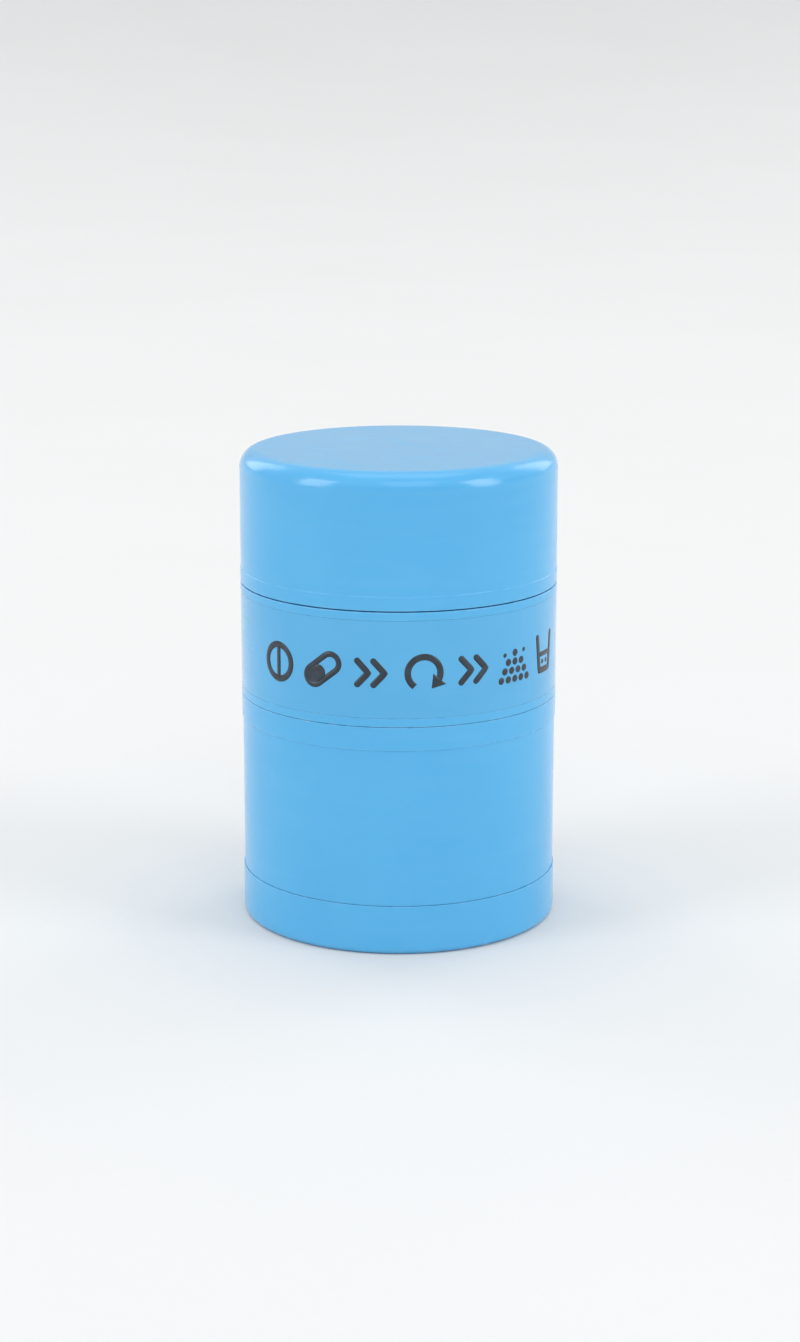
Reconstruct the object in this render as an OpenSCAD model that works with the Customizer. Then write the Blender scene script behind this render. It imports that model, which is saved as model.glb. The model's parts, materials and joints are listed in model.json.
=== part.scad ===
// Twist-action pill crusher: a blue cylinder of four stacked sections.
// From the top: a cap that drives a ram, the crusher body, a storage jar and a push-fit base lid.
// Millimetres, +Z up, origin at the centre of the face it stands on.

/* [Overall] */
// Outer diameter of the cylinder
body_d = 44; // [42:0.5:48]
// Wall of the outer shells
wall = 1.8; // [1.6:0.1:2]
// Radius of the cap's rounded top edge
top_edge_r = 2.5; // [1:0.1:3]

/* [Section heights] */
// Base lid
base_h = 6.9; // [5.8:0.1:8]
// Storage jar, without its neck
jar_h = 25; // [20:0.1:30]
// Crusher body, without its neck
crusher_h = 15.7; // [15:0.1:17]
// Cap
cap_h = 18.4; // [17:0.1:19.5]

/* [Seams and steps] */
// Gap under the cap
cap_gap = 0.3; // [0.2:0.05:0.4]
// Gap between the crusher body and the jar
jar_gap = 0.16; // [0.1:0.02:0.3]
// Gap between the jar and the base lid
base_gap = 0.1; // [0.06:0.02:0.3]
// Height of the collar at the jar's top
collar_h = 3.2; // [2:0.1:5]
// How far the jar's wall steps in under its collar
collar_step = 0.12; // [0.05:0.01:0.2]
// Height of the band round the cap's lower edge
rim_h = 2; // [1.5:0.1:3]
// How far the cap steps in above that band
rim_step = 0.06; // [0.02:0.01:0.1]
// Depth of the recess that the label lies in
label_t = 0.1; // [0.05:0.01:0.15]
// Plain strip above and below the label
label_margin = 1.2; // [0.8:0.1:2]

/* [Threads] */
// Rise of both threads in one turn
pitch = 3; // [2.8:0.1:3.4]
// Turns of ridge on each threaded wall
ridge_turns = 2.25; // [1.5:0.25:2.25]
// Radial clearance between a ridge and the wall it faces
thread_clear = 0.35; // [0.3:0.05:0.4]

/* [Crushing faces] */
// Teeth on the ram's pad and on the anvil
tooth_count = 12; // [8:1:16]
// Height of the pad's teeth
pad_tooth_h = 0.9; // [0.6:0.1:1.1]
// Height of the anvil's teeth
anvil_tooth_h = 0.7; // [0.5:0.1:0.8]
// Space between the two sets of teeth when the cap is closed
tooth_gap = 0.4; // [0.3:0.05:0.6]

/* [Hidden] */

$fn = 96;
blue = "#54a9e6";
white = "#eef1f2";
clear_blue = "#b9dcf2";
soft_grey = "#cfd6da";
steel = "#b9bcc0";

// Fits, joins and small edges
fit = 0.05;
overlap = 0.5;
cut = 1;
seam_edge = 0.15;
cap_edge = 0.2;
lead_in = 0.3;
foot_edge = 0.4;

// Levels of the seams, from the bottom up
z_base = base_h;
z_jar = z_base + jar_h;
z_cap = z_jar + crusher_h;
z_top = z_cap + cap_h;

// Radii of the cap and of the neck it turns on, from the outside in
body_r = body_d / 2;
ridge_h = 1;
neck_wall = 1.5;
cup_wall = 1.4;
ram_clear = 0.4;
cap_side_r = body_r - rim_step;
shell_in_r = cap_side_r - wall;
core_r = shell_in_r - fit;
core_bore_r = core_r - wall;
neck_ridge_r = core_bore_r - thread_clear;
neck_r = neck_ridge_r - ridge_h;
core_ridge_r = neck_r + thread_clear;
tube_bore_r = neck_r - neck_wall;
cup_r = tube_bore_r - 2 * fit;
cup_bore_r = cup_r - cup_wall;
ram_r = cup_bore_r - ram_clear;

// Levels inside the cap, from the top down
top_t = 2;
core_t = 2;
seal_t = 1;
flange_t = 1;
z_core_top = z_top - top_t;
z_ceiling = z_core_top - core_t;
z_flange = z_ceiling - seal_t;
z_neck = z_flange - flange_t;

// Levels inside the crusher body, from the bottom up
floor_t = 1.6;
cup_floor_t = 1.4;
anvil_t = 1.4;
tube_drop = 1.4;
shoulder_t = 2.35;
ledge_t = 1.2;
z_tube = z_jar - tube_drop;
z_cup = z_tube + floor_t;
z_anvil = z_cup + cup_floor_t;
z_anvil_face = z_anvil + anvil_t;
z_pad_tip = z_anvil_face + anvil_tooth_h + tooth_gap;
z_shoulder = z_cap - cap_gap / 2;
z_web = z_shoulder - shoulder_t;
z_ledge = z_web + ledge_t;

// The ram, its pad and its screw
pad_t = 2;
pad_plug_h = 1.5;
ram_wall = 1.8;
ram_floor_t = 2.2;
ram_in_r = ram_r - ram_wall;
rib_count = 6;
rib_t = 1.2;
boss_r = 4;
boss_h = 10;
boss_socket = 4;
tower_r = boss_r + 1.4;
pilot_r = 1.2;
z_pad = z_pad_tip + pad_tooth_h;
z_ram = z_pad + pad_t;
z_ram_floor = z_ram + pad_plug_h + fit;
z_boss = z_ceiling - boss_h;
screw_r = 1.5;
screw_hole_r = 1.7;
screw_head_r = 2.8;
screw_head_h = 1.6;
screw_len = 14;
screw_bite = 0.2;
head_room = 0.4;
slot_l = 3.2;
slot_w = 0.7;
slot_depth = 0.9;

// Teeth: radius they start from, half width at the foot and at the tip, and how deep they are rooted
tooth_start_r = 2.5;
tooth_foot = 1.1;
tooth_tip = 0.25;
tooth_root = 0.3;
pad_tooth_margin = 0.6;
anvil_tooth_margin = 0.8;

// The jar, the flange of the neck tube and the wall that the jar screws into
jar_neck_wall = 1.2;
jar_neck_play = 0.5;
jar_ridge_h = 0.8;
jar_neck_bore_r = neck_r + jar_neck_play;
jar_neck_r = jar_neck_bore_r + jar_neck_wall;
jar_ridge_r = jar_neck_r + jar_ridge_h;
skirt_bore_r = jar_ridge_r + thread_clear;
skirt_ridge_r = jar_neck_r + thread_clear;
flange_r = jar_neck_r + 0.1;
land_r = neck_ridge_r + fit;
jar_r = body_r - collar_step;
jar_bore_r = jar_r - wall;
jar_corner_r = 1.5;
jar_seal_t = 0.8;
z_jar_neck = z_web - jar_seal_t;
z_jar_floor = z_base + 1.4;
z_jar_inside = z_jar_floor + floor_t;

// The base lid and the spigot it is pushed onto
lid_bore_r = body_r - wall;
spigot_r = lid_bore_r - 0.3;
spigot_wall = 1.5;
spigot_bore_r = spigot_r - spigot_wall;
bead_r = lid_bore_r - fit;
bead_h = 0.8;
z_bead = z_base - 1.9;
stand_r = body_r - 4;
stand_edge_r = 0.8;
lid_rise = 0.6;
z_lid_inside = lid_rise + floor_t;
base_seal_t = 0.6;
z_spigot = z_lid_inside + base_seal_t;

// Thread ridges: half height at the wall and at the crest, and the level of the first turn
ridge_root = 0.9;
ridge_crest = 0.45;
ridge_steps = 36;
ridge_bury = 0.1;
ridge_fade = 6;
first_ridge = 2.4;

// Points of an arc round (x, z), from angle a to angle b
function arc(x, z, r, a, b, n = 8) =
    [for (i = [0 : n]) let (t = a + (b - a) * i / n) [x + r * cos(t), z + r * sin(t)]];

// 0 at both ends of a ridge of n steps and 1 along the rest of it, rising over a sixth of a turn
function fade(i, n) = min(1, ridge_fade * i / ridge_steps, ridge_fade * (n - i) / ridge_steps);

// One section of a ridge: inner and outer radius with their half heights, at an angle and a level
function ridge_section(inner, outer, half_in, half_out, a, z) = [
    [inner * cos(a), inner * sin(a), z - half_in],
    [outer * cos(a), outer * sin(a), z - half_out],
    [outer * cos(a), outer * sin(a), z + half_out],
    [inner * cos(a), inner * sin(a), z + half_in]
];

// A right-handed thread ridge that stands out of a wall, outward or inward, and fades at both ends
module ridge(wall_r, crest_r, z) {
    n = round(ridge_turns * ridge_steps);
    out = crest_r > wall_r;
    root_r = wall_r + (out ? -overlap : overlap);
    buried_r = wall_r + (out ? -ridge_bury : ridge_bury);
    function crest(i) = buried_r + (crest_r - buried_r) * fade(i, n);
    points = [
        for (i = [0 : n])
            each ridge_section(
                out ? root_r : crest(i),
                out ? crest(i) : root_r,
                out ? ridge_root : ridge_crest,
                out ? ridge_crest : ridge_root,
                360 * i / ridge_steps,
                z + pitch * i / ridge_steps
            )
    ];
    sides = [
        for (i = [0 : n - 1], j = [0 : 3])
            let (a = 4 * i + j, b = 4 * i + (j + 1) % 4)
                each [[a, b, b + 4], [a, b + 4, a + 4]]
    ];
    e = 4 * n;
    ends = [[0, 3, 2], [0, 2, 1], [e, e + 1, e + 2], [e, e + 2, e + 3]];
    polyhedron(points, concat(sides, ends));
}

// A flat ring between two levels
module ring(outer, inner, z0, z1) {
    rotate_extrude()
        polygon([[inner, z0], [outer, z0], [outer, z1], [inner, z1]]);
}

// Radial teeth of triangular section on a disc, out to radius r, pointing up
module teeth(r, h) {
    foot = [[-tooth_foot, 0], [-tooth_foot, -tooth_root], [tooth_foot, -tooth_root], [tooth_foot, 0]];
    tip = [[tooth_tip, h], [-tooth_tip, h]];
    intersection() {
        union() {
            for (i = [0 : tooth_count - 1])
                rotate([90, 0, (i + 0.5) * 360 / tooth_count])
                    translate([0, 0, tooth_start_r])
                        linear_extrude(r)
                            polygon(concat(foot, tip));
        }
        translate([0, 0, -cut])
            cylinder(r = r, h = h + 2 * cut);
    }
}

// Outer cap: a cup upside down, with a band round its lower edge
module cap_shell() {
    z0 = z_cap + cap_gap / 2;
    color(blue)
        rotate_extrude()
            polygon(concat(
                [[0, z_core_top], [shell_in_r, z_core_top], [shell_in_r, z0]],
                [[body_r - cap_edge, z0], [body_r, z0 + cap_edge], [body_r, z_cap + rim_h]],
                [[cap_side_r, z_cap + rim_h + rim_step]],
                arc(cap_side_r - top_edge_r, z_top - top_edge_r, top_edge_r, 0, 90, 12),
                [[0, z_top]]
            ));
}

// Threaded core, pressed into the cap, with the boss that the ram is screwed to
module cap_core() {
    color(blue)
        difference() {
            union() {
                rotate_extrude()
                    polygon([
                        [0, z_ceiling], [core_bore_r, z_ceiling], [core_bore_r, z_cap + rim_h],
                        [core_r, z_cap + rim_h], [core_r, z_core_top], [0, z_core_top]
                    ]);
                translate([0, 0, z_boss])
                    cylinder(r = boss_r, h = boss_h + overlap);
                ridge(core_bore_r, core_ridge_r, z_cap + first_ridge + pitch / 2);
            }
            translate([0, 0, z_boss - cut])
                cylinder(r = pilot_r, h = boss_h);
        }
}

// Hollow plunger with ribs, open at the top where it meets the core
module ram() {
    rib_l = ram_in_r - tower_r + overlap;
    color(blue)
        difference() {
            union() {
                ring(ram_r, ram_in_r, z_ram, z_ceiling);
                translate([0, 0, z_ram_floor])
                    cylinder(r = ram_in_r + overlap / 2, h = ram_floor_t);
                translate([0, 0, z_ram_floor])
                    cylinder(r = tower_r, h = z_boss + boss_socket - z_ram_floor);
                for (i = [0 : rib_count - 1])
                    rotate([0, 0, i * 360 / rib_count])
                        translate([tower_r - overlap / 2, -rib_t / 2, z_ram_floor])
                            cube([rib_l, rib_t, z_boss - z_ram_floor]);
            }
            translate([0, 0, z_boss])
                cylinder(r = boss_r + fit, h = boss_h);
            translate([0, 0, z_ram_floor - cut])
                cylinder(r = screw_hole_r, h = z_boss - z_ram_floor + 2 * cut);
        }
}

// Toothed pad, plugged into the ram's lower end over the screw's head
module ram_pad() {
    pocket_h = screw_head_h + head_room;
    color(white)
        difference() {
            union() {
                translate([0, 0, z_pad])
                    cylinder(r = ram_r, h = pad_t);
                translate([0, 0, z_ram - overlap])
                    cylinder(r = ram_in_r - fit, h = pad_plug_h + overlap);
                translate([0, 0, z_pad])
                    mirror([0, 0, 1])
                        teeth(ram_r - pad_tooth_margin, pad_tooth_h);
            }
            translate([0, 0, z_ram_floor - pocket_h])
                cylinder(r = screw_head_r + head_room, h = pocket_h + cut);
        }
}

// Pan-head screw, up through the ram's floor into the core's boss
module ram_screw() {
    z_head = z_ram_floor - screw_head_h;
    color(steel)
        difference() {
            union() {
                translate([0, 0, z_head])
                    cylinder(r = screw_head_r, h = screw_head_h);
                translate([0, 0, z_ram_floor - screw_bite])
                    cylinder(r = screw_r, h = z_boss - z_ram_floor - screw_bite);
                translate([0, 0, z_ram_floor - screw_bite])
                    cylinder(r = pilot_r - fit, h = screw_len);
            }
            for (a = [0, 90])
                rotate([0, 0, a])
                    translate([-slot_l / 2, -slot_w / 2, z_head - cut])
                        cube([slot_l, slot_w, slot_depth + cut]);
        }
}

// Ring that closes the crushing cup's rim against the core
module cap_seal() {
    color(soft_grey)
        ring(neck_r, cup_bore_r + lead_in, z_flange, z_ceiling);
}

// Outer sleeve of the middle section: it sits on the neck tube's flange and screws onto the jar
module crusher_body() {
    z0 = z_jar + jar_gap / 2;
    z_low = z_jar + label_margin;
    z_high = z_cap - label_margin;
    recess_r = body_r - label_t;
    color(blue)
        union() {
            rotate_extrude()
                polygon([
                    [skirt_bore_r, z_web], [skirt_bore_r, z0],
                    [body_r - seam_edge, z0], [body_r, z0 + seam_edge],
                    [body_r, z_low], [recess_r, z_low], [recess_r, z_high], [body_r, z_high],
                    [body_r, z_shoulder - cap_edge], [body_r - cap_edge, z_shoulder],
                    [land_r + fit, z_shoulder], [land_r + fit, z_ledge],
                    [flange_r + fit, z_ledge], [flange_r + fit, z_web]
                ]);
            ridge(skirt_bore_r, skirt_ridge_r, z_jar + first_ridge + pitch / 2);
        }
}

// Inner tube of the middle section: it holds the crushing cup, and the cap screws onto its neck
module neck_tube() {
    color(blue)
        union() {
            rotate_extrude()
                polygon([
                    [0, z_tube], [neck_r, z_tube],
                    [neck_r, z_web], [flange_r, z_web], [flange_r, z_ledge], [land_r, z_ledge],
                    [land_r, z_shoulder], [neck_r, z_shoulder],
                    [neck_r, z_neck], [tube_bore_r, z_neck], [tube_bore_r, z_cup], [0, z_cup]
                ]);
            ridge(neck_r, neck_ridge_r, z_cap + first_ridge);
        }
}

// Hard liner in which the tablet is crushed, hung from its rim on the neck tube
module crush_cup() {
    rim_r = neck_r - 2 * fit;
    color(clear_blue)
        rotate_extrude()
            polygon([
                [0, z_cup], [cup_r - foot_edge, z_cup], [cup_r, z_cup + foot_edge], [cup_r, z_neck],
                [rim_r, z_neck], [rim_r, z_flange],
                [cup_bore_r + cap_edge, z_flange], [cup_bore_r, z_flange - cap_edge],
                [cup_bore_r, z_anvil], [0, z_anvil]
            ]);
}

// Toothed plate on the liner's floor
module anvil_plate() {
    plate_r = cup_bore_r - fit;
    color(white)
        union() {
            translate([0, 0, z_anvil])
                cylinder(r = plate_r, h = anvil_t);
            translate([0, 0, z_anvil_face])
                teeth(plate_r - anvil_tooth_margin, anvil_tooth_h);
        }
}

// Printed film in the recess round the crusher body
module label_band() {
    slack = 0.02;
    color(clear_blue)
        ring(
            body_r - slack / 2,
            body_r - label_t,
            z_jar + label_margin + slack,
            z_cap - label_margin - slack
        );
}

// Flat ring on the rim of the jar's neck
module jar_seal() {
    color(soft_grey)
        ring(jar_neck_r, jar_neck_bore_r, z_jar_neck, z_web);
}

// Storage jar: threaded neck above, collar, large compartment, floor and the spigot for the base lid
module storage_jar() {
    z1 = z_jar - jar_gap / 2;
    z_collar = z_jar - collar_h;
    z_under = z_jar - wall;
    z0 = z_base + base_gap / 2;
    color(blue)
        union() {
            rotate_extrude()
                polygon(concat(
                    [[0, z_jar_floor], [spigot_bore_r, z_jar_floor], [spigot_bore_r, z_spigot]],
                    [[spigot_r - lead_in, z_spigot], [spigot_r, z_spigot + lead_in]],
                    [[spigot_r, z_bead - bead_h / 2], [bead_r, z_bead]],
                    [[spigot_r, z_bead + bead_h / 2], [spigot_r, z0]],
                    [[jar_r - seam_edge, z0], [jar_r, z0 + seam_edge]],
                    [[jar_r, z_collar - collar_step], [body_r, z_collar]],
                    [[body_r, z1 - seam_edge], [body_r - seam_edge, z1], [jar_neck_r, z1]],
                    [[jar_neck_r, z_jar_neck - cap_edge], [jar_neck_r - cap_edge, z_jar_neck]],
                    [[jar_neck_bore_r, z_jar_neck], [jar_neck_bore_r, z_under], [jar_bore_r, z_under]],
                    arc(jar_bore_r - jar_corner_r, z_jar_inside + jar_corner_r, jar_corner_r, 0, -90),
                    [[0, z_jar_inside]]
                ));
            ridge(jar_neck_r, jar_ridge_r, z_jar + first_ridge);
        }
}

// Push-fit base lid, hollowed a little underneath so that it stands on its rim
module base_lid() {
    z1 = z_base - base_gap / 2;
    color(blue)
        rotate_extrude()
            polygon(concat(
                [[0, lid_rise], [stand_r - lid_rise, lid_rise], [stand_r, 0]],
                arc(body_r - stand_edge_r, stand_edge_r, stand_edge_r, -90, 0, 6),
                [[body_r, z1 - seam_edge], [body_r - seam_edge, z1], [lid_bore_r + lead_in, z1]],
                [[lid_bore_r, z1 - lead_in], [lid_bore_r, z_lid_inside], [0, z_lid_inside]]
            ));
}

// Flat ring on the base lid's floor
module base_seal() {
    color(soft_grey)
        ring(lid_bore_r - fit, spigot_bore_r + cap_edge, z_lid_inside, z_spigot);
}

cap_shell();
cap_core();
ram();
ram_pad();
ram_screw();
cap_seal();
crusher_body();
neck_tube();
crush_cup();
anvil_plate();
label_band();
jar_seal();
storage_jar();
base_lid();
base_seal();
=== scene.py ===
import json
import math

import bmesh
import bpy
import numpy as np
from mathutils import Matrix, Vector


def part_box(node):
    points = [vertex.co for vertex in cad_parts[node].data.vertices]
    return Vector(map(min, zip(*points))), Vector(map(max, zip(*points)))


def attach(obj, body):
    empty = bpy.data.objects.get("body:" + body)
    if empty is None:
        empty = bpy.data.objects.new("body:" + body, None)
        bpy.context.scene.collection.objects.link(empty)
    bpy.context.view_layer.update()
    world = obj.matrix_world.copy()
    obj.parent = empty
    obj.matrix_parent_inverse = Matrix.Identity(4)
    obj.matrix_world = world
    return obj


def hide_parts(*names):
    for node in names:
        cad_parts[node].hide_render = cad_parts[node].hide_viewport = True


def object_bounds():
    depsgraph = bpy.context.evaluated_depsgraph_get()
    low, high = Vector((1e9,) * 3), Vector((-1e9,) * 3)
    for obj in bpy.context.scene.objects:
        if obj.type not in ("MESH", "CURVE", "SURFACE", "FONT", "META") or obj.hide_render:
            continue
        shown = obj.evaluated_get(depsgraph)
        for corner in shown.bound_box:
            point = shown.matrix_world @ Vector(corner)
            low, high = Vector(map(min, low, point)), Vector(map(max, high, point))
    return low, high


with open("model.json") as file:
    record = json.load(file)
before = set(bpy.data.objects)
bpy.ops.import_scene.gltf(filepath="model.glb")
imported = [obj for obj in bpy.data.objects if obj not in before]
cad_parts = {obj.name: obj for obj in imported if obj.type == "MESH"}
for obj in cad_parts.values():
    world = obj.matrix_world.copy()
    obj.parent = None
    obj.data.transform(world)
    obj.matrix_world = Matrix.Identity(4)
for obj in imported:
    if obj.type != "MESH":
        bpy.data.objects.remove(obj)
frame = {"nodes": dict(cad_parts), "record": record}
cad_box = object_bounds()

MM = 0.001
SEGMENTS = 240
SUPPORT = 0.12
POLE_GAP = 1.5
FILLET_SHARE = 0.48
WIDE_FILLET = 1.0
WIDE_ARC_DEG, TIGHT_ARC_DEG = 5, 18
LONGEST_STEP = 2.0
THREAD_STEP = 0.15
TOOTH_STEP = 0.3
SAME = 1e-6
NEARLY_STRAIGHT = 0.01
SHARP_BEND = 4.0


def span(node):
    """Lowest level, highest level and outer radius of a CAD node."""
    low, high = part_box(node)
    return low.z / MM, high.z / MM, high.x / MM


cap_z0, cap_z1, cap_r = span("cap_shell")
core_z0, core_z1, core_r = span("cap_core")
ram_z0, ram_z1, ram_r = span("ram")
pad_z0, pad_z1, pad_r = span("ram_pad")
cap_seal_z0, cap_seal_z1, neck_r = span("cap_seal")
body_z0, _, body_r = span("crusher_body")
tube_z0, tube_z1, flange_r = span("neck_tube")
cup_z0, cup_z1, cup_rim_r = span("crush_cup")
anvil_z0, anvil_z1, anvil_r = span("anvil_plate")
label_r = span("label_band")[2]
jar_seal_z0, jar_seal_z1, jar_neck_r = span("jar_seal")
jar_z0, jar_z1, jar_r = span("storage_jar")
lid_z0, lid_z1, lid_r = span("base_lid")
base_seal_z0, base_seal_z1, base_seal_r = span("base_seal")

# Facts of the shape that a node's box doesn't give
FIT = 0.05
WALL = 1.8
TOP_EDGE_R = 2.5
RIM_H = 2.0
RIM_STEP = 0.06
CAP_GAP = 0.3
JAR_GAP = 0.16
BASE_GAP = 0.1
COLLAR_H = 3.2
COLLAR_STEP = 0.12
LABEL_MARGIN = 1.2
LABEL_DEPTH = 0.1
FLOOR_T = 1.6
RIDGE_TURNS = 2.25
RIDGE_ROOT = 0.9
RIDGE_CREST = 0.45
RIDGE_FADE_DEG = 60.0
FIRST_RIDGE = 2.4
THREAD_CLEAR = 0.35
NECK_RIDGE_H = 1.0
JAR_RIDGE_H = 0.8
TOOTH_COUNT = 12
TOOTH_FOOT = 1.1
TOOTH_TIP = 0.25
TOOTH_START_R = 2.5
TOOTH_START_FADE, TOOTH_END_FADE = 0.6, 0.35
FLAT_MIDDLE_R = 1.5

z_cap = cap_z0 - CAP_GAP / 2
z_jar = body_z0 - JAR_GAP / 2
z_base = lid_z1 + BASE_GAP / 2

# The seams as the eye sees them: each is drawn closer than the clearance that the CAD leaves
CAP_SEAM, JAR_SEAM, BASE_SEAM = 0.16, 0.06, 0.05
cap_foot, body_top = z_cap + CAP_SEAM / 2, z_cap - CAP_SEAM / 2
body_foot, jar_top = z_jar + JAR_SEAM / 2, z_jar - JAR_SEAM / 2
jar_foot, lid_top = z_base + BASE_SEAM / 2, z_base - BASE_SEAM / 2
pitch = frame["record"]["behaviour"]["couplings"][0]["ratio"] * 2 * math.pi / MM


# ---------------------------------------------------------------- shapes

def smooth(x):
    x = np.clip(x, 0, 1)
    return x * x * (3 - 2 * x)


def rounded(corners):
    """A closed outline of (r, z, fillet, step) corners as (r, z) points; fillet and step may be left out."""
    count = len(corners)
    full = [(*corner, 0, 0)[:4] for corner in corners]
    runs = []
    for i, (r, z, fillet, step) in enumerate(full):
        here = np.array([r, z], float)
        before = np.array(full[i - 1][:2], float) - here
        after = np.array(full[(i + 1) % count][:2], float) - here
        len_a, len_b = np.linalg.norm(before), np.linalg.norm(after)
        u, v = before / len_a, after / len_b
        between = math.acos(float(np.clip(u @ v, -1, 1)))
        if fillet <= 0 or between > math.pi - NEARLY_STRAIGHT or r < SAME:
            runs.append(([here], step))
            continue
        reach = min(fillet / math.tan(between / 2), FILLET_SHARE * len_a, FILLET_SHARE * len_b)
        radius = reach * math.tan(between / 2)
        middle = here + (u + v) / np.linalg.norm(u + v) * radius / math.sin(between / 2)
        start, end = here + u * reach - middle, here + v * reach - middle
        sweep = math.pi - between
        arc_deg = WIDE_ARC_DEG if fillet > WIDE_FILLET else TIGHT_ARC_DEG
        steps = max(3, math.ceil(math.degrees(sweep) / arc_deg))
        arc = [
            middle + (start * math.sin((1 - t) * sweep) + end * math.sin(t * sweep)) / math.sin(sweep)
            for t in np.linspace(0, 1, steps + 1)
        ]
        runs.append((arc, step))
    points = []
    for i, (arc, step) in enumerate(runs):
        points.extend(arc)
        a, b = arc[-1], runs[(i + 1) % count][0][0]
        length = float(np.linalg.norm(b - a))
        if max(a[0], b[0]) < SAME or length < 3 * SUPPORT:
            continue
        first, last = (min(POLE_GAP, length / 3) if p[0] < SAME else SUPPORT for p in (a, b))
        inner = math.ceil((length - first - last) / (step or LONGEST_STEP))
        along = [first + (length - first - last) * k / inner for k in range(inner + 1)]
        points.extend(a + (b - a) * s / length for s in along)
    return np.array(points)


def sharpness(points):
    """How sharply a closed outline turns outward at each of its points: 0 where flat or hollow, up to 1."""
    before, after = points - np.roll(points, 1, 0), np.roll(points, -1, 0) - points
    turn = before[:, 0] * after[:, 1] - before[:, 1] * after[:, 0]
    len_a, len_b = np.linalg.norm(before, axis=1), np.linalg.norm(after, axis=1)
    along = np.sum(before * after, axis=1)
    r, z = points[:, 0], points[:, 1]
    outward = np.sign(np.sum(r * np.roll(z, -1) - z * np.roll(r, -1)))
    bend = outward * np.arctan2(turn, along) / np.maximum((len_a + len_b) / 2, SAME)
    return smooth(bend / SHARP_BEND)


def finish_mesh(name, vertices, faces, wear, body, slot, material, node=None):
    """A smooth piece with outward normals, riding on a body, in place of a CAD node."""
    mesh = bpy.data.meshes.new(name)
    mesh.from_pydata((np.asarray(vertices) * MM).tolist(), [], faces)
    mesh.attributes.new("wear", "FLOAT", "POINT").data.foreach_set("value", wear)
    bm = bmesh.new()
    bm.from_mesh(mesh)
    bmesh.ops.recalc_face_normals(bm, faces=bm.faces)
    bm.to_mesh(mesh)
    bm.free()
    mesh.polygons.foreach_set("use_smooth", [True] * len(mesh.polygons))
    mesh.materials.append(material)
    piece = bpy.data.objects.new(name, mesh)
    bpy.context.scene.collection.objects.link(piece)
    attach(piece, body)
    if node:
        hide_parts(node)


def turned(outline, shape=None, segments=SEGMENTS):
    """Vertices, faces and wear of an outline turned round the axis; shape(r, z, degrees) may move them."""
    points = rounded(outline)
    sharp = sharpness(points)
    degrees = np.arange(segments) * 360 / segments
    angle = np.radians(degrees)
    vertices, rows, wear = [], [], []
    for (r, z), edge in zip(points, sharp):
        if r < SAME:
            rows.append([len(vertices)])
            vertices.append((0, 0, z))
            wear.append(0.0)
            continue
        ring_r, ring_z = np.full(segments, r), np.full(segments, z)
        if shape:
            ring_r, ring_z = shape(ring_r, ring_z, degrees)
        rows.append(list(range(len(vertices), len(vertices) + segments)))
        vertices.extend(zip(ring_r * np.cos(angle), ring_r * np.sin(angle), ring_z))
        wear.extend([float(edge)] * segments)
    faces = []
    for a, b in zip(rows, rows[1:] + rows[:1]):
        if len(a) == 1 and len(b) == 1:
            continue
        for i in range(segments):
            j = (i + 1) % segments
            if len(a) == 1:
                faces.append((a[0], b[j], b[i]))
            elif len(b) == 1:
                faces.append((a[i], a[j], b[0]))
            else:
                faces.append((a[i], a[j], b[j], b[i]))
    return vertices, faces, wear


def thread(wall_r, crest_r, z_first):
    """A shape function: a right-handed ridge on the wall at wall_r, fading out at both ends."""
    whole = 360 * RIDGE_TURNS

    def shape(r, z, degrees):
        turn = np.round((z - z_first) / pitch - degrees / 360)
        total = degrees + 360 * turn
        off = np.abs(z - z_first - pitch * total / 360)
        rise = smooth((RIDGE_ROOT - off) / (RIDGE_ROOT - RIDGE_CREST))
        fade = smooth(np.minimum(total, whole - total) / RIDGE_FADE_DEG)
        on_wall = np.abs(r - wall_r) < SAME
        return r + on_wall * (crest_r - wall_r) * rise * fade, z

    return shape


def toothed(face_z, outer_r, height):
    """A shape function: radial teeth of triangular section on the face at face_z."""
    spacing = 360 / TOOTH_COUNT

    def shape(r, z, degrees):
        off = np.radians((degrees % spacing) - spacing / 2)
        across = np.abs(r * np.sin(off))
        rise = np.clip((TOOTH_FOOT - across) / (TOOTH_FOOT - TOOTH_TIP), 0, 1)
        start, stop = (r - TOOTH_START_R) / TOOTH_START_FADE + 0.5, (outer_r - r) / TOOTH_END_FADE
        ends = smooth(start) * smooth(stop)
        on_face = np.abs(z - face_z) < SAME
        return r, z + on_face * height * rise * ends

    return shape


# ---------------------------------------------------------------- materials

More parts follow.
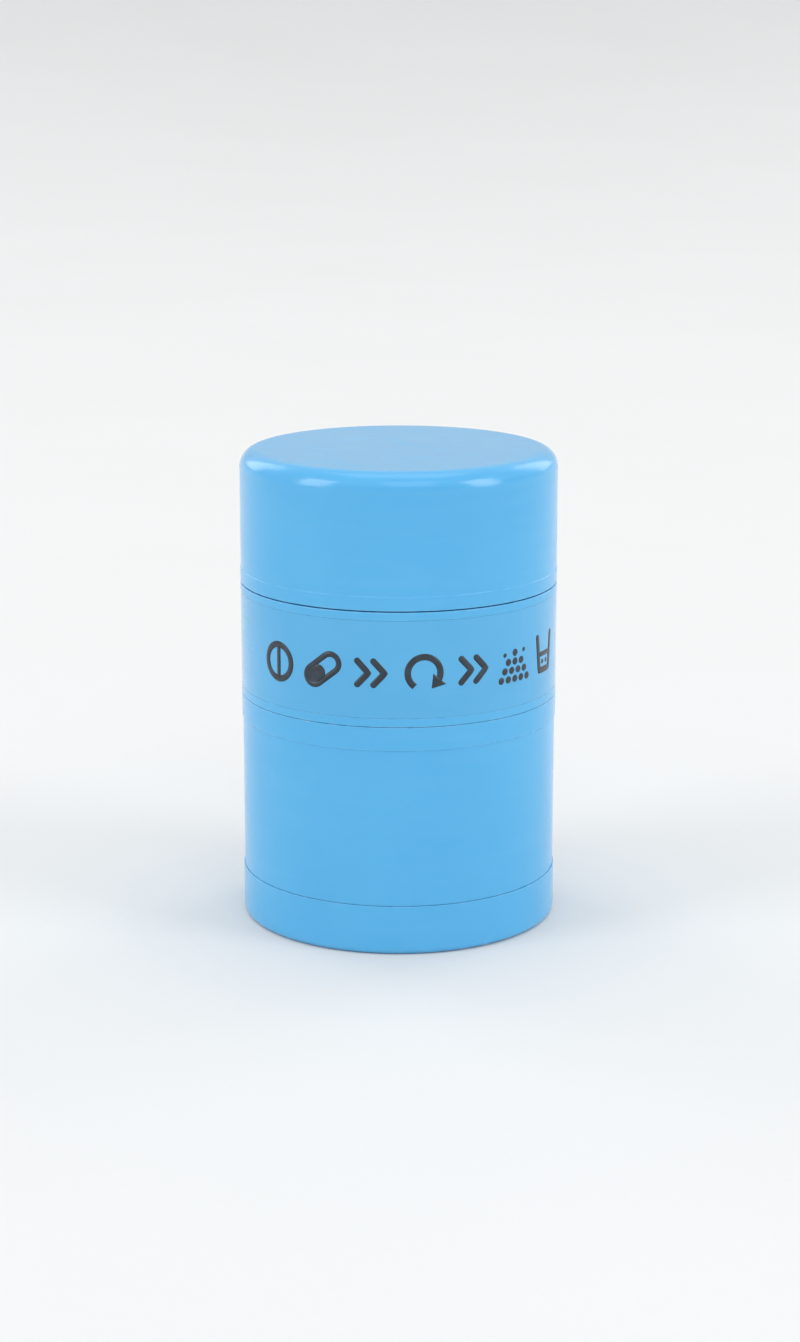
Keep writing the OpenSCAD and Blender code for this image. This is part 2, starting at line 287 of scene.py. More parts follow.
class Shader:
    """A material whose nodes are made and joined in one call each."""

    def __init__(self, name):
        self.material = bpy.data.materials.new(name)
        self.material.use_nodes = True
        self.tree = self.material.node_tree
        self.tree.nodes.clear()
        self.place = self.add("ShaderNodeTexCoord").outputs["Object"]

    def add(self, kind, settings=None, **inputs):
        """A node with its inputs set or joined, by name or, as _3, by number."""
        node = self.tree.nodes.new(kind)
        for key, value in (settings or {}).items():
            setattr(node, key, value)
        for key, value in inputs.items():
            names = [s.name for s in node.inputs]
            index = int(key[1:]) if key[0] == "_" else names.index(key.replace("_", " "))
            socket = node.inputs[index]
            if isinstance(value, bpy.types.NodeSocket):
                self.tree.links.new(value, socket)
            else:
                socket.default_value = value
        return node

    def noise(self, scale, detail=3.0, stretch=None, roughness=0.55, distortion=0.0):
        """0 to 1 noise in the piece's own space; stretch scales X, Y and Z."""
        where = self.place
        if stretch:
            where = self.add("ShaderNodeMapping", Vector=where, Scale=stretch).outputs[0]
        made = self.add(
            "ShaderNodeTexNoise", Vector=where, Scale=scale, Detail=detail, Roughness=roughness,
            Distortion=distortion,
        )
        return made.outputs[0]

    def cells(self, scale):
        """Distance to the nearest of a scatter of points in the piece's own space."""
        return self.add("ShaderNodeTexVoronoi", Vector=self.place, Scale=scale).outputs["Distance"]

    def ramp(self, value, low, high, to_low=0.0, to_high=1.0):
        made = self.add(
            "ShaderNodeMapRange", {"interpolation_type": "SMOOTHSTEP"},
            _0=value, _1=low, _2=high, _3=to_low, _4=to_high,
        )
        return made.outputs[0]

    def math(self, operation, a, b):
        return self.add("ShaderNodeMath", {"operation": operation}, _0=a, _1=b).outputs[0]

    def mix(self, factor, a, b):
        made = self.add("ShaderNodeMix", {"data_type": "RGBA"}, _0=factor, _6=a, _7=b)
        return made.outputs[2]

    def bump(self, height, distance, normal=None):
        made = self.add("ShaderNodeBump", Height=height, Distance=distance, Strength=1.0)
        if normal:
            self.tree.links.new(normal, made.inputs["Normal"])
        return made.outputs[0]

    def end(self, **inputs):
        surface = self.add("ShaderNodeBsdfPrincipled", **inputs)
        self.add("ShaderNodeOutputMaterial", Surface=surface.outputs[0])
        return self.material


def colour(red, green, blue):
    return (red, green, blue, 1.0)


def moulded(name, main, deep, worn, gloss, grain, wear, subsurface=0.0, coat=0.0, **more):
    """Injection-moulded plastic: clouding, flow marks, hairline scratches, and edges paled by use."""
    s = Shader(name)
    clouds = s.ramp(s.noise(55, 3, distortion=0.4), 0.35, 0.68)
    flow = s.ramp(s.noise(1, 4, (70, 70, 420), distortion=0.8), 0.42, 0.72)
    tone = s.mix(s.math("MULTIPLY", clouds, 0.55), main, deep)
    tone = s.mix(s.math("MULTIPLY", flow, 0.05), tone, worn)
    edge = s.add("ShaderNodeAttribute", {"attribute_name": "wear"}).outputs["Fac"]
    patchy = s.ramp(s.noise(420, 4, roughness=0.65), 0.3, 0.62)
    edge = s.math("MULTIPLY", edge, patchy)
    tone = s.mix(s.math("MULTIPLY", edge, wear), tone, worn)
    around = s.ramp(s.noise(1, 5, (35, 35, 3200), roughness=0.7), 0.6, 0.74)
    split = s.add("ShaderNodeSeparateXYZ", _0=s.add("ShaderNodeNewGeometry").outputs["Normal"])
    wall = s.ramp(s.math("ABSOLUTE", split.outputs[2], 0.0), 0.04, 0.16, 1.0, 0.0)
    where = s.math("MULTIPLY", s.ramp(s.noise(90, 2), 0.5, 0.66), wall)
    scratches = s.math("MULTIPLY", around, where)
    smudge = s.ramp(s.noise(130, 5, roughness=0.6, distortion=1.2), 0.38, 0.75, 0.0, 0.1)
    rough = s.math("ADD", s.math("ADD", smudge, gloss), s.math("MULTIPLY", scratches, 0.05))
    rough = s.math("ADD", rough, s.math("MULTIPLY", edge, 0.12))
    normal = s.bump(s.noise(620, 2), 0.00001 * grain)
    normal = s.bump(s.noise(2400, 3), 0.000004 * grain, normal=normal)
    normal = s.bump(scratches, -0.0000006, normal=normal)
    return s.end(
        Base_Color=tone, Roughness=rough, Normal=normal, IOR=1.5, Coat_Weight=coat, Coat_Roughness=0.08,
        Subsurface_Weight=subsurface, Subsurface_Scale=0.0012, Subsurface_Radius=(0.35, 0.75, 1.0), **more
    )


blue_main = colour(0.076, 0.4, 0.715)
blue_deep = colour(0.066, 0.376, 0.695)
blue_worn = colour(0.2, 0.5, 0.8)

looks = {}
looks["blue_plastic"] = moulded(
    "blue_plastic", blue_main, blue_deep, blue_worn, gloss=0.17, grain=1.0, wear=0.5, subsurface=0.12,
    coat=0.15,
)
looks["inner_blue_plastic"] = moulded(
    "inner_blue_plastic", blue_main, blue_deep, blue_worn, gloss=0.3, grain=1.8, wear=0.35, subsurface=0.12
)
looks["liner_plastic"] = moulded(
    "liner_plastic", colour(0.62, 0.79, 0.9), colour(0.56, 0.75, 0.88), colour(0.8, 0.88, 0.92),
    gloss=0.16, grain=0.8, wear=0.2, subsurface=0.5, coat=0.3, Transmission_Weight=0.08,
)
looks["tooth_plastic"] = moulded(
    "tooth_plastic", colour(0.8, 0.82, 0.83), colour(0.74, 0.77, 0.78), colour(0.87, 0.87, 0.86),
    gloss=0.36, grain=2.2, wear=0.6, subsurface=0.2,
)


def rubber():
    """Soft silicone: dull, with talc-like dust caught in fine pores."""
    s = Shader("seal_rubber")
    pores = s.ramp(s.cells(3600), 0.1, 0.5)
    dust = s.ramp(s.noise(260, 5, roughness=0.7), 0.45, 0.8)
    tone = s.mix(s.math("MULTIPLY", dust, 0.5), colour(0.55, 0.6, 0.62), colour(0.7, 0.73, 0.74))
    tone = s.mix(s.math("MULTIPLY", s.ramp(s.noise(70), 0.3, 0.7), 0.3), tone, colour(0.48, 0.54, 0.57))
    rough = s.ramp(dust, 0, 1, 0.5, 0.72)
    normal = s.bump(pores, 0.000012, normal=s.bump(s.noise(500), 0.00003))
    return s.end(
        Base_Color=tone, Roughness=rough, Normal=normal, Subsurface_Weight=0.25, Subsurface_Scale=0.001
    )


def plated_steel():
    """Zinc plate: brushed round the head, with dull grey spots."""
    s = Shader("screw_steel")
    brushed = s.noise(1, 6, (900, 900, 9000), roughness=0.75)
    spots = s.ramp(s.noise(800, 4), 0.5, 0.72)
    tone = s.mix(spots, colour(0.62, 0.63, 0.65), colour(0.45, 0.46, 0.47))
    rough = s.math("ADD", s.math("MULTIPLY", brushed, 0.25), s.math("MULTIPLY", spots, 0.2))
    rough = s.math("ADD", rough, 0.16)
    return s.end(Base_Color=tone, Roughness=rough, Metallic=1.0, Normal=s.bump(brushed, 0.00001))


def film():
    """Clear film over the blue wall: much the wall's own colour, with faint ripples and rubbed patches."""
    s = Shader("label_film")
    clouds = s.ramp(s.noise(60, 3, distortion=0.3), 0.35, 0.68)
    tone = s.mix(clouds, colour(0.078, 0.394, 0.72), colour(0.072, 0.38, 0.705))
    rubbed = s.ramp(s.noise(1, 5, (60, 60, 1800), roughness=0.7), 0.58, 0.76)
    tone = s.mix(s.math("MULTIPLY", rubbed, 0.1), tone, blue_worn)
    smudge = s.ramp(s.noise(150, 5, distortion=1.0), 0.4, 0.75, 0.0, 0.1)
    rough = s.math("ADD", s.math("ADD", smudge, 0.15), s.math("MULTIPLY", rubbed, 0.12))
    normal = s.bump(s.noise(1, 2, (240, 240, 90)), 0.000018, normal=s.bump(s.noise(1500), 0.000003))
    return s.end(
        Base_Color=tone, Roughness=rough, Normal=normal, Coat_Weight=0.3, Coat_Roughness=0.06, IOR=1.5,
        Subsurface_Weight=0.1, Subsurface_Scale=0.0012, Subsurface_Radius=(0.35, 0.75, 1.0),
    )


def printed_ink():
    """Screen-printed ink: nearly black blue, thin in places, with pinholes and a dull surface."""
    s = Shader("printed_ink")
    thin = s.ramp(s.noise(700, 5, roughness=0.7), 0.42, 0.8)
    pinholes = s.ramp(s.cells(1900), 0.0, 0.12, 1, 0)
    tone = s.mix(thin, colour(0.012, 0.021, 0.032), colour(0.03, 0.055, 0.085))
    tone = s.mix(s.math("MULTIPLY", pinholes, 0.5), tone, colour(0.06, 0.2, 0.36))
    rough = s.ramp(thin, 0, 1, 0.28, 0.42)
    normal = s.bump(s.noise(2600, 3), 0.000006)
    return s.end(Base_Color=tone, Roughness=rough, Normal=normal, IOR=1.5)


def floor_paper():
    s = Shader("floor_paper")
    tone = s.mix(s.noise(9, 4), colour(0.7, 0.705, 0.7), colour(0.73, 0.733, 0.73))
    normal = s.bump(s.noise(900, 4), 0.00004)
    return s.end(Base_Color=tone, Roughness=0.75, Normal=normal)


looks["seal_rubber"] = rubber()
looks["screw_steel"] = plated_steel()
looks["label_film"] = film()


def turned_piece(name, node, body, slot, outline, shape=None, segments=SEGMENTS):
    """A turned piece in place of a CAD node, with the look of its slot."""
    finish_mesh(name, *turned(outline, shape, segments), body, slot, looks[slot], node)


# ---------------------------------------------------------------- the cap

side_r = cap_r - RIM_STEP
shell_in_r = side_r - WALL
rim_z = z_cap + RIM_H
cap_outline = [
    (0, cap_z1), (side_r, cap_z1, TOP_EDGE_R), (side_r, rim_z + RIM_STEP, 0.04), (cap_r, rim_z, 0.04),
    (cap_r, cap_foot, 0.1), (shell_in_r, cap_foot, 0.25), (shell_in_r, core_z1, 0.15), (0, core_z1),
]
turned_piece("cap_shell_moulding", "cap_shell", "cap", "blue_plastic", cap_outline)

boss_r, boss_h, pilot_r, pilot_depth = 4.0, 10.0, 1.2, 9.0
ceiling_z = cap_seal_z1
boss_z = ceiling_z - boss_h
core_bore_r = core_r - WALL
core_outline = [
    (0, core_z1), (core_r, core_z1, 0.2), (core_r, core_z0, 0.3), (core_bore_r, core_z0, 0.4, THREAD_STEP),
    (core_bore_r, ceiling_z, 0.5), (boss_r, ceiling_z, 0.5), (boss_r, boss_z, 0.3), (pilot_r, boss_z, 0.2),
    (pilot_r, boss_z + pilot_depth), (0, boss_z + pilot_depth),
]
core_thread = thread(core_bore_r, neck_r + THREAD_CLEAR, z_cap + FIRST_RIDGE + pitch / 2)
turned_piece("cap_core_moulding", "cap_core", "cap", "inner_blue_plastic", core_outline, core_thread)


def box_faces(first):
    """The six faces of a box whose eight corners start at vertex first, lower four first."""
    sides = [(0, 1, 5, 4), (1, 2, 6, 5), (2, 3, 7, 6), (3, 0, 4, 7), (3, 2, 1, 0), (4, 5, 6, 7)]
    return [tuple(first + k for k in side) for side in sides]


ram_wall, ram_floor_t, screw_hole_r, rib_count, rib_half = 1.8, 2.2, 1.7, 6, 0.6
tower_wall, socket_depth = 1.4, 4
ram_in_r = ram_r - ram_wall
tower_r = boss_r + tower_wall
floor_z = pad_z1 + FIT
socket_z = boss_z + socket_depth
ram_outline = [
    (screw_hole_r, floor_z, 0.1), (ram_in_r, floor_z, 0.1), (ram_in_r, ram_z0, 0.1), (ram_r, ram_z0, 0.15),
    (ram_r, ram_z1, 0.3), (ram_in_r, ram_z1, 0.3), (ram_in_r, floor_z + ram_floor_t, 0.6),
    (tower_r, floor_z + ram_floor_t, 0.6), (tower_r, socket_z, 0.3), (boss_r + FIT, socket_z, 0.3),
    (boss_r + FIT, boss_z, 0.1), (screw_hole_r, boss_z, 0.1),
]
vertices, faces, wear = turned(ram_outline)
rib_root = 0.2
rib_r0, rib_r1 = tower_r - rib_root, ram_in_r + rib_root
for k in range(rib_count):
    faces.extend(box_faces(len(vertices)))
    out = np.radians(360 * k / rib_count)
    for z in (floor_z + ram_floor_t / 2, boss_z):
        for r, t in ((rib_r0, -rib_half), (rib_r1, -rib_half), (rib_r1, rib_half), (rib_r0, rib_half)):
            vertices.append((r * np.cos(out) - t * np.sin(out), r * np.sin(out) + t * np.cos(out), z))
wear.extend([0.0] * (len(vertices) - len(wear)))
ram_look = looks["inner_blue_plastic"]
finish_mesh("ram_plunger", vertices, faces, wear, "cap", "inner_blue_plastic", ram_look, "ram")

pad_tooth_h, pad_tooth_margin = 0.9, 0.6
head_pocket_r, head_pocket_h = 3.2, 2.0
pad_face_z = pad_z0 + pad_tooth_h
pad_outline = [
    (0, pad_face_z), (FLAT_MIDDLE_R, pad_face_z, 0, TOOTH_STEP), (pad_r, pad_face_z, 0.3),
    (pad_r, ram_z0, 0.12), (ram_in_r - FIT, ram_z0, 0.1), (ram_in_r - FIT, pad_z1, 0.3),
    (head_pocket_r, pad_z1, 0.1),
    (head_pocket_r, floor_z - head_pocket_h, 0.1), (0, floor_z - head_pocket_h),
]
pad_teeth = toothed(pad_face_z, pad_r - pad_tooth_margin, -pad_tooth_h)
turned_piece("ram_pad_toothed", "ram_pad", "cap", "tooth_plastic", pad_outline, pad_teeth, 2 * SEGMENTS)

# The screw keeps its CAD shape, with the plated look on it
frame["nodes"]["ram_screw"].data.materials.clear()
frame["nodes"]["ram_screw"].data.materials.append(looks["screw_steel"])

SEAL_LIP_H = 0.12


def soft_ring(name, node, outer_r, inner_r, z0, z1, body):
    """A flat sealing ring with rounded edges and a raised lip round the middle of its top."""
    middle, half, dip = (outer_r + inner_r) / 2, (outer_r - inner_r) / 2, SEAL_LIP_H
    outline = [
        (inner_r, z0, 0.2), (outer_r, z0, 0.2), (outer_r, z1 - dip, 0.2), (middle + half / 2, z1 - dip, 0.1),
        (middle + half / 4, z1, 0.1), (middle - half / 4, z1, 0.1), (middle - half / 2, z1 - dip, 0.1),
        (inner_r, z1 - dip, 0.2),
    ]
    turned_piece(name, node, body, "seal_rubber", outline)


cup_wall, anvil_t, cap_seal_inset = 1.4, 1.4, 0.3
cup_bore_r = anvil_r + FIT
cup_r = cup_bore_r + cup_wall
cap_seal_in_r = cup_bore_r + cap_seal_inset
soft_ring("cap_seal_ring", "cap_seal", neck_r, cap_seal_in_r, cap_seal_z0, cap_seal_z1, "cap_ring")

# ---------------------------------------------------------------- the crusher body

label_low, label_high = z_jar + LABEL_MARGIN, z_cap - LABEL_MARGIN
recess_r = body_r - LABEL_DEPTH
web_z, web_t = jar_seal_z1, 1.2
ledge_z = web_z + web_t
land_r = neck_r + NECK_RIDGE_H + FIT
jar_ridge_r = jar_neck_r + JAR_RIDGE_H
skirt_bore_r = jar_ridge_r + THREAD_CLEAR
sleeve_outline = [
    (skirt_bore_r, web_z, 0.4, THREAD_STEP), (skirt_bore_r, body_foot, 0.3), (body_r, body_foot, 0.06),
    (body_r, label_low, 0.03), (recess_r, label_low, 0.02),
    (recess_r, label_high, 0.02), (body_r, label_high, 0.03),
    (body_r, body_top, 0.1), (land_r + FIT, body_top, 0.05), (land_r + FIT, ledge_z),
    (flange_r + FIT, ledge_z), (flange_r + FIT, web_z, 0.1),
]
skirt_thread = thread(skirt_bore_r, jar_neck_r + THREAD_CLEAR, z_jar + FIRST_RIDGE + pitch / 2)
turned_piece("crusher_body_sleeve", "crusher_body", "crusher", "blue_plastic", sleeve_outline, skirt_thread)

tube_bore_r = cup_r + 2 * FIT
tube_outline = [
    (0, tube_z0), (neck_r, tube_z0, 0.4), (neck_r, web_z, 0.2), (flange_r, web_z, 0.1), (flange_r, ledge_z),
    (land_r, ledge_z), (land_r, body_top, 0.05), (neck_r, body_top, 0.2, THREAD_STEP), (neck_r, tube_z1, 0.3),
    (tube_bore_r, tube_z1, 0.15), (tube_bore_r, cup_z0, 0.1), (0, cup_z0),
]
neck_thread = thread(neck_r, neck_r + NECK_RIDGE_H, z_cap + FIRST_RIDGE)
turned_piece("neck_tube_moulding", "neck_tube", "crusher", "inner_blue_plastic", tube_outline, neck_thread)

cup_outline = [
    (0, cup_z0), (cup_r, cup_z0, 0.5), (cup_r, tube_z1, 0.15), (cup_rim_r, tube_z1, 0.15),
    (cup_rim_r, cup_z1, 0.3), (cup_bore_r, cup_z1, 0.35), (cup_bore_r, anvil_z0, 0.02), (0, anvil_z0),
]
turned_piece("crush_cup_liner", "crush_cup", "crusher", "liner_plastic", cup_outline)

anvil_tooth_margin = 0.8
anvil_face_z = anvil_z0 + anvil_t
anvil_outline = [
    (0, anvil_z0), (anvil_r, anvil_z0, 0.1), (anvil_r, anvil_face_z, 0.25, TOOTH_STEP),
    (FLAT_MIDDLE_R, anvil_face_z), (0, anvil_face_z),
]
anvil_teeth = toothed(anvil_face_z, anvil_r - anvil_tooth_margin, anvil_z1 - anvil_face_z)
turned_piece(
    "anvil_plate_toothed", "anvil_plate", "crusher", "tooth_plastic", anvil_outline, anvil_teeth, 2 * SEGMENTS
)

film_sink, film_t, film_gap = 0.008, 0.08, 0.02
film_r = label_r - film_sink
film_outline = [
    (film_r, label_low + film_gap, 0.01), (film_r, label_high - film_gap, 0.01),
    (film_r - film_t, label_high - film_gap), (film_r - film_t, label_low + film_gap),
]
turned_piece("label_film_sleeve", "label_band", "crusher", "label_film", film_outline)

# ---------------------------------------------------------------- the printed symbols

INK_RISE, INK_CELL, INK_STEP, INK_TIP, ARC_STEP_DEG = 0.012, 0.4, 0.35, 0.02, 9
ink_r, ink_t = film_r + INK_RISE, 0.02
ink_vertices, ink_faces = [], []


def stroke(path, widths, closed=False):
    """Prints a line of the given widths along (s, z) points on the cylinder, as a thin closed solid."""
    path = np.array(path, float)
    ahead = np.roll(path, -1, 0) - np.roll(path, 1, 0)
    if not closed:
        ahead[0], ahead[-1] = path[1] - path[0], path[-1] - path[-2]
    ahead /= np.linalg.norm(ahead, axis=1)[:, None]
    side = np.stack([-ahead[:, 1], ahead[:, 0]], 1)
    widths = np.broadcast_to(widths, len(path))
    across = max(2, math.ceil(float(widths.max()) / INK_CELL))
    first, count = len(ink_vertices), len(path)
    for r in (ink_r, ink_r - ink_t):
        for i in range(count):
            for j in range(across + 1):
                s, z = path[i] + side[i] * widths[i] * (j / across - 0.5)
                ink_vertices.append((r * math.sin(s / r), -r * math.cos(s / r), z))

    def at(layer, i, j):
        return first + (layer * count + i % count) * (across + 1) + j

    for i in range(count if closed else count - 1):
        for j in range(across):
            ink_faces.append((at(0, i, j), at(0, i + 1, j), at(0, i + 1, j + 1), at(0, i, j + 1)))
            ink_faces.append((at(1, i, j + 1), at(1, i + 1, j + 1), at(1, i + 1, j), at(1, i, j)))
        for j in (0, across):
            ink_faces.append((at(0, i, j), at(1, i, j), at(1, i + 1, j), at(0, i + 1, j)))
    if not closed:
        for i in (0, count - 1):
            for j in range(across):
                ink_faces.append((at(0, i, j), at(0, i, j + 1), at(1, i, j + 1), at(1, i, j)))


def line(points, width):
    """A straight or broken line with round ends."""
    points = [np.array(p, float) for p in points]
    path = []
    for a, b in zip(points, points[1:]):
        count = max(2, math.ceil(np.linalg.norm(b - a) / INK_STEP))
        path.extend(a + (b - a) * k / count for k in range(count))
    path.append(points[-1])
    ends = width / 2 * (1 - np.cos(np.linspace(0, math.pi / 2, 6)))[1:-1]
    start, stop = path[1] - path[0], path[-2] - path[-1]
    start, stop = start / np.linalg.norm(start), stop / np.linalg.norm(stop)
    head = [path[0] + start * (e - width / 2) for e in ends]
    tail = [path[-1] + stop * (e - width / 2) for e in ends[::-1]]
    caps = [2 * math.sqrt(max(0.0, (width / 2) ** 2 - (width / 2 - e) ** 2)) for e in ends]
    tips = [path[0] - start * width / 2, path[-1] - stop * width / 2]
    widths = [INK_TIP, *caps, *[width] * len(path), *caps[::-1], INK_TIP]
    stroke([tips[0], *head, *path, *tail, tips[1]], widths)


def ring(centre, radius, width, start=0.0, stop=360.0):
    """A circle, or an arc of one between two angles in degrees, with its middle line at the radius."""
    closed = stop - start >= 360
    count = math.ceil((stop - start) / ARC_STEP_DEG)
    t = np.radians(np.linspace(start, stop, count, endpoint=not closed))
    stroke(np.stack([centre[0] + radius * np.cos(t), centre[1] + radius * np.sin(t)], 1), width, closed)


def dot(centre, radius):
    line([(centre[0] - 0.001, centre[1]), (centre[0] + 0.001, centre[1])], 2 * radius)


def arrowhead(tip, ahead, length, width):
    tip, ahead = np.array(tip, float), np.array(ahead, float)
    t = np.linspace(0, 1, 7)
    stroke([tip - ahead * length * (1 - k) for k in t], width * (1 - t) + INK_TIP)


# z_print is the level of the symbols' middles, and s is a symbol's distance round the wall from the front
z_print = 39.3
STROKE = 0.88
THIN_STROKE = STROKE * 0.8
TABLET_R, SCORE_HALF = 2.35, 1.9
ARROW_R, ARROW_FROM_DEG, ARROW_TO_DEG = 2.2, -30, 235


def tablet(s):
    ring((s, z_print), TABLET_R, STROKE)
    line([(s, z_print - SCORE_HALF), (s, z_print + SCORE_HALF)], THIN_STROKE)


def capsule(s, tilt):
    c, n = math.cos(math.radians(tilt)), math.sin(math.radians(tilt))
    half, radius = 1.55, 1.25

    def at(x, y):
        return s + c * x - n * y, z_print + n * x + c * y

    t = np.radians(np.linspace(-90, 90, 13))
    right = [at(half + radius * math.cos(a), radius * math.sin(a)) for a in t]
    left = [at(-half - radius * math.cos(a), -radius * math.sin(a)) for a in t]
    mid = [at(half * k, radius) for k in (0.6, 0.2, -0.2, -0.6)]
    low = [at(half * k, -radius) for k in (-0.6, -0.2, 0.2, 0.6)]
    stroke([*right, *mid, *left, *low], STROKE * 0.9, closed=True)
    line([at(-half + 0.1, 0), at(-0.75, 0)], 2 * radius - 0.35)


def chevrons(s):
    for k in (-1.1, 1.1):
        line([(s + k - 0.75, z_print + 1.6), (s + k + 0.75, z_print), (s + k - 0.75, z_print - 1.6)], STROKE)


def turn_arrow(s):
    ring((s, z_print), ARROW_R, STROKE, ARROW_FROM_DEG, ARROW_TO_DEG)
    end = math.radians(ARROW_FROM_DEG)
    tip = (s + ARROW_R * math.cos(end) - 0.9, z_print + ARROW_R * math.sin(end) - 1.05)
    arrowhead(tip, (-0.65, -0.76), 1.7, 2.3)


def powder(s):
    for row, count in enumerate((5, 4, 3, 1)):
        for k in range(count):
            dot((s + (k - (count - 1) / 2) * 1.26, z_print - 2.25 + row * 1.2), 0.5)
    dot((s - 1.9, z_print + 1.2), 0.3)
    dot((s + 1.8, z_print + 1.5), 0.3)


def beaker(s):
    top, foot, low, high = 2.15, 1.55, z_print - 2.35, z_print + 2.35
    line([(s - top, high), (s - foot, low), (s + foot, low), (s + top, high)], STROKE)
    line([(s - 1.2, z_print - 0.1), (s + 1.2, z_print - 0.1)], THIN_STROKE)
    for k in (-0.6, 0.6):
        dot((s + k, z_print - 1.2), 0.34)


tablet(-18.1)
capsule(-10.6, 38)
chevrons(-3.7)
turn_arrow(3.4)
chevrons(10.4)
powder(17.4)
beaker(24.8)
ink_wear = [0.0] * len(ink_vertices)
finish_mesh("printed_symbols", ink_vertices, ink_faces, ink_wear, "crusher", "label_film", printed_ink())

# ---------------------------------------------------------------- the jar and the base

jar_neck_wall = 1.2
jar_neck_bore_r = jar_neck_r - jar_neck_wall
soft_ring("jar_seal_ring", "jar_seal", jar_neck_r, jar_neck_bore_r, jar_seal_z0, jar_seal_z1, "jar_ring")

jar_side_r = jar_r - COLLAR_STEP
jar_bore_r = jar_side_r - WALL
collar_z = z_jar - COLLAR_H
lid_bore_r = lid_r - WALL
spigot_clear, spigot_wall, bead_drop, floor_rise = 0.3, 1.5, 1.9, 1.4
spigot_r = lid_bore_r - spigot_clear
spigot_bore_r = spigot_r - spigot_wall
bead_r, bead_z, bead_half = lid_bore_r - FIT, z_base - bead_drop, 0.4
jar_floor = z_base + floor_rise
jar_outline = [
    (0, jar_floor), (spigot_bore_r, jar_floor, 0.6), (spigot_bore_r, jar_z0, 0.2), (spigot_r, jar_z0, 0.3),
    (spigot_r, bead_z - bead_half, 0.2), (bead_r, bead_z, 0.3), (spigot_r, bead_z + bead_half, 0.2),
    (spigot_r, jar_foot, 0.1), (jar_side_r, jar_foot, 0.03), (jar_side_r, collar_z - COLLAR_STEP, 0.08),
    (jar_r, collar_z, 0.08), (jar_r, jar_top, 0.06), (jar_neck_r, jar_top, 0.15, THREAD_STEP),
    (jar_neck_r, jar_z1, 0.25), (jar_neck_bore_r, jar_z1, 0.25), (jar_neck_bore_r, z_jar - WALL, 0.4),
    (jar_bore_r, z_jar - WALL, 0.6), (jar_bore_r, jar_floor + FLOOR_T, 1.5), (0, jar_floor + FLOOR_T),
]
jar_thread = thread(jar_neck_r, jar_ridge_r, z_jar + FIRST_RIDGE)
turned_piece("storage_jar_moulding", "storage_jar", "jar", "blue_plastic", jar_outline, jar_thread)

stand_w, lid_rise, base_seal_inset = 4, 0.6, 0.2
stand_r = lid_r - stand_w
gate_z, gate_r, gate_root_r = lid_z0 + 0.3, 1.0, 1.3
lid_outline = [
    (0, gate_z), (gate_r, gate_z, 0.1), (gate_root_r, lid_z0 + lid_rise, 0.1),
    (stand_r - lid_rise, lid_z0 + lid_rise, 0.3), (stand_r, lid_z0, 0.2), (lid_r, lid_z0, 0.8),
    (lid_r, lid_top, 0.03),
    (lid_bore_r, lid_top, 0.3), (lid_bore_r, base_seal_z0, 0.05), (0, base_seal_z0),
]
turned_piece("base_lid_moulding", "base_lid", "base", "blue_plastic", lid_outline)
base_seal_in_r = spigot_bore_r + base_seal_inset
soft_ring("base_seal_ring", "base_seal", base_seal_r, base_seal_in_r, base_seal_z0, base_seal_z1, "base")

# ---------------------------------------------------------------- camera, floor and light

CAMERA_DISTANCE = 0.38
CAMERA_ELEVATION = 13.85
AIM = Vector((0.00018, 0, 0.03425))
camera = bpy.data.cameras.new("camera")
camera.lens, camera.sensor_width = 72.6, 36
eye = bpy.data.objects.new("camera", camera)
bpy.context.scene.collection.objects.link(eye)
tilt = math.radians(CAMERA_ELEVATION)
back = Vector((0, -math.cos(tilt), math.sin(tilt)))
eye.location = AIM + back * CAMERA_DISTANCE
eye.rotation_euler = (-back).to_track_quat("-Z", "Y").to_euler()
camera.clip_start, camera.clip_end = 0.01, 50
bpy.context.scene.camera = eye

# The floor is flat under the object and then bends up out of sight, so no horizon is seen
FLOOR_R, CURVE_R, CURVE_DEG = 1.0, 4.0, 46
STAGE_STEPS, STAGE_SEGMENTS = 12, 96
FLOOR_DROP = 0.00002
stage_rows = [(FLOOR_R * k / STAGE_STEPS, 0.0) for k in range(STAGE_STEPS + 1)]
for k in range(1, STAGE_STEPS + 1):
    bend = math.radians(CURVE_DEG * k / STAGE_STEPS)
    stage_rows.append((FLOOR_R + CURVE_R * math.sin(bend), CURVE_R * (1 - math.cos(bend))))
stage_vertices = [(0, 0, 0)]
for r, z in stage_rows[1:]:
    for k in range(STAGE_SEGMENTS):
        a = 2 * math.pi * k / STAGE_SEGMENTS
        stage_vertices.append((r * math.cos(a), r * math.sin(a), z))
stage_faces = []
for k in range(STAGE_SEGMENTS):
    n = (k + 1) % STAGE_SEGMENTS
    stage_faces.append((0, 1 + k, 1 + n))
    for row in range(len(stage_rows) - 2):
        low, high = 1 + row * STAGE_SEGMENTS, 1 + (row + 1) * STAGE_SEGMENTS
        stage_faces.append((low + k, high + k, high + n, low + n))
stage_mesh = bpy.data.meshes.new("floor")
stage_mesh.from_pydata(stage_vertices, [], stage_faces)
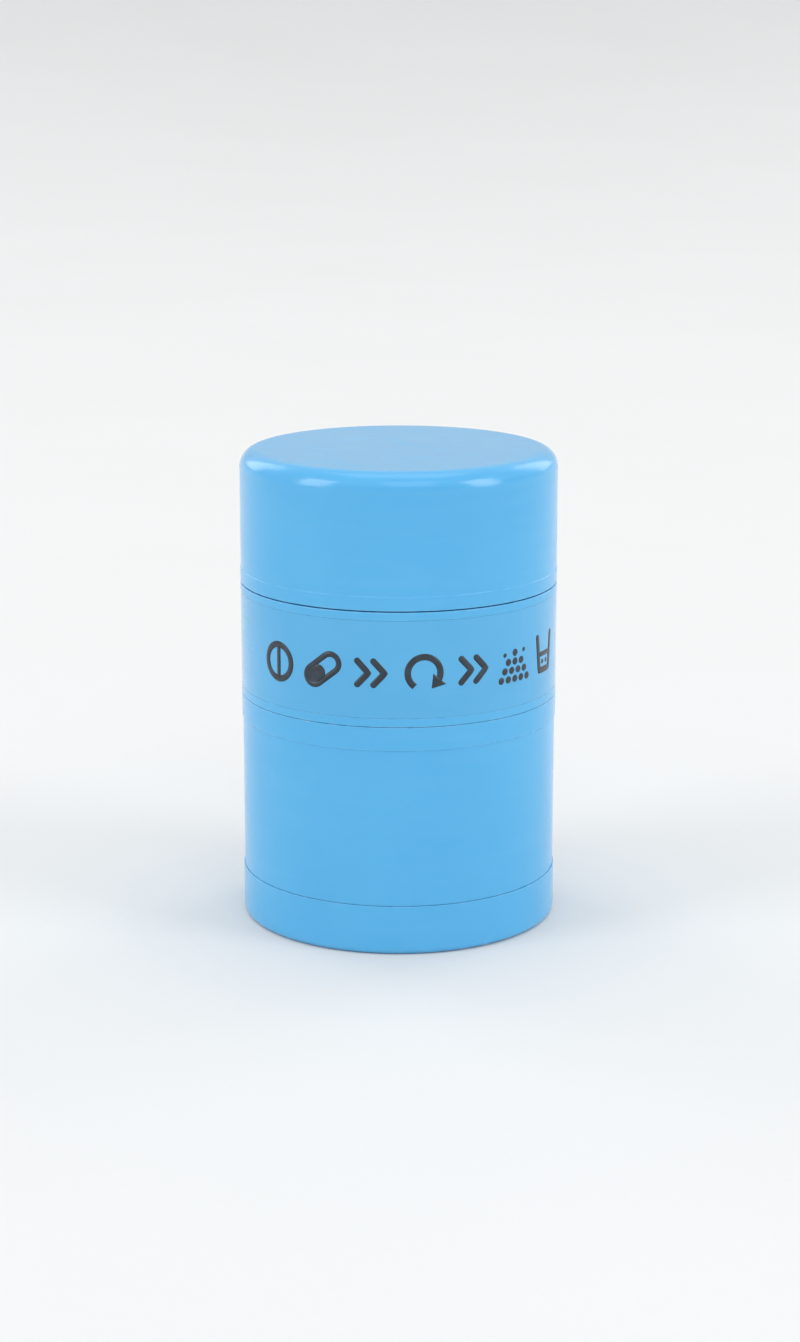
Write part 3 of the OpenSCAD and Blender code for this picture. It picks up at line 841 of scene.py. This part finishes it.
stage_mesh.polygons.foreach_set("use_smooth", [True] * len(stage_faces))
stage_mesh.materials.append(floor_paper())
floor = bpy.data.objects.new("floor", stage_mesh)
floor.location.z = cad_box[0].z - FLOOR_DROP
bpy.context.scene.collection.objects.link(floor)


def softbox(name, place, width, height, watts):
    light = bpy.data.lights.new(name, "AREA")
    light.shape, light.size, light.size_y = "RECTANGLE", width, height
    light.energy = watts
    lamp = bpy.data.objects.new(name, light)
    lamp.location = place
    lamp.visible_camera = False
    lamp.rotation_euler = (AIM - Vector(place)).to_track_quat("-Z", "Y").to_euler()
    bpy.context.scene.collection.objects.link(lamp)


softbox("key", (-1.66, -0.78, 0.84), 0.8, 1.3, 12.0)
softbox("fill", (1.7, -0.78, 0.84), 0.8, 1.3, 13.0)
softbox("front", (0.25, -1.5, 1.5), 1.2, 1.0, 3.8)
softbox("top", (0.0, 0.25, 1.9), 1.4, 1.1, 4.5)
softbox("back_left", (-1.25, 1.35, 0.9), 0.8, 1.2, 5.0)
softbox("back_right", (1.25, 1.35, 0.9), 0.8, 1.2, 5.0)

world = bpy.data.worlds.new("studio")
bpy.context.scene.world = world
world.use_nodes = True
sky_tree = world.node_tree
sky = sky_tree.nodes["Background"]
sky_place = sky_tree.nodes.new("ShaderNodeTexCoord")
sky_split = sky_tree.nodes.new("ShaderNodeSeparateXYZ")
sky_ramp = sky_tree.nodes.new("ShaderNodeMapRange")
sky_tree.links.new(sky_place.outputs["Generated"], sky_split.inputs[0])
sky_tree.links.new(sky_split.outputs["Z"], sky_ramp.inputs[0])
sky_tree.links.new(sky_ramp.outputs[0], sky.inputs["Strength"])
SKY_FROM, SKY_TO, SKY_LOW, SKY_HIGH = 0.1, 0.6, 0.7, 0.86
for socket, value in zip(sky_ramp.inputs[1:5], (SKY_FROM, SKY_TO, SKY_LOW, SKY_HIGH)):
    socket.default_value = value
sky.inputs["Color"].default_value = colour(0.97, 0.985, 1.0)
bpy.context.scene.view_settings.view_transform = "Standard"
